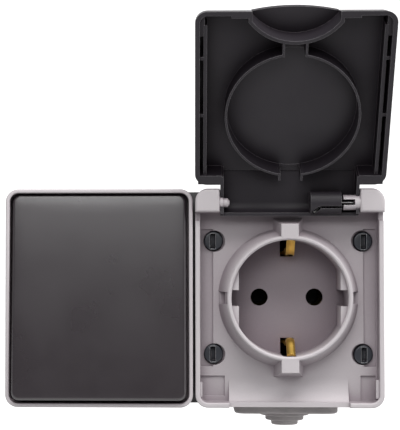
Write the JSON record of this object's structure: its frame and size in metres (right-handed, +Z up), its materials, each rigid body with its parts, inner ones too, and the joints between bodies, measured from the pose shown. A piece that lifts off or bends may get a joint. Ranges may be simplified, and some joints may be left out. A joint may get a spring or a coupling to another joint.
{
  "type": "weatherproof switch and socket combination",
  "caption": "Surface-mounted outdoor combination: large rocker switch beside an earthed socket with a hinged protective lid standing open, rubber cable entry below.",
  "frame": {"origin": "centre of the back face, on the wall, midway between the two modules", "axes": "+X to the right, +Y into the wall, +Z up"},
  "size_m": [0.1272, 0.0803, 0.1387],
  "materials": {
    "housing": "light grey satin moulding",
    "box": "dark grey matt moulding",
    "anthracite": "anthracite satin moulding",
    "rocker": "anthracite satin moulding",
    "gasket": "soft black rubber",
    "grommet": "grey rubber",
    "screw": "blue-black insulated screw",
    "steel": "bright zinc plated steel",
    "brass": "plain brass",
    "insulation": "black insulating moulding"
  },
  "bodies": {
    "housing": {"back_box": "box", "cable_grommet": "grommet", "switch_gasket": "gasket", "socket_gasket": "gasket", "switch_frame": "housing", "switch_screws": "steel", "switch_base": "insulation", "terminal_common": "brass", "terminal_out_a": "brass", "terminal_out_b": "brass", "switch_terminal_screws": "steel", "socket_cover": "housing", "cover_screws": "screw", "socket_base": "insulation", "contact_sleeve_left": "brass", "contact_sleeve_right": "brass", "earth_bow": "brass", "socket_terminal_screws": "steel"},
    "lid": {"lid": "anthracite", "lid_spring": "steel"},
    "rocker": {"rocker": "rocker", "rocker_carrier": "insulation", "plunger": "insulation", "plunger_spring": "steel"},
    "contact_lever": {"contact_lever": "brass"}
  },
  "joints": [
    {"name": "lid_hinge", "type": "hinge", "parent": "housing", "child": "lid", "pos_m": [0.032, -0.0439, 0.03205], "axis": [1, 0, 0], "range_deg": [0, 148]},
    {"name": "rocker_tilt", "type": "hinge", "parent": "housing", "child": "rocker", "pos_m": [-0.032, -0.038, 0], "axis": [1, 0, 0], "range_deg": [0, 5]},
    {"name": "lever_tilt", "type": "hinge", "parent": "housing", "child": "contact_lever", "pos_m": [-0.032, -0.021, 0], "axis": [1, 0, 0], "range_deg": [-12, 0]}
  ],
  "couplings": [
    {"joint": "lever_tilt", "follows": "rocker_tilt", "ratio": -2.4}
  ]
}
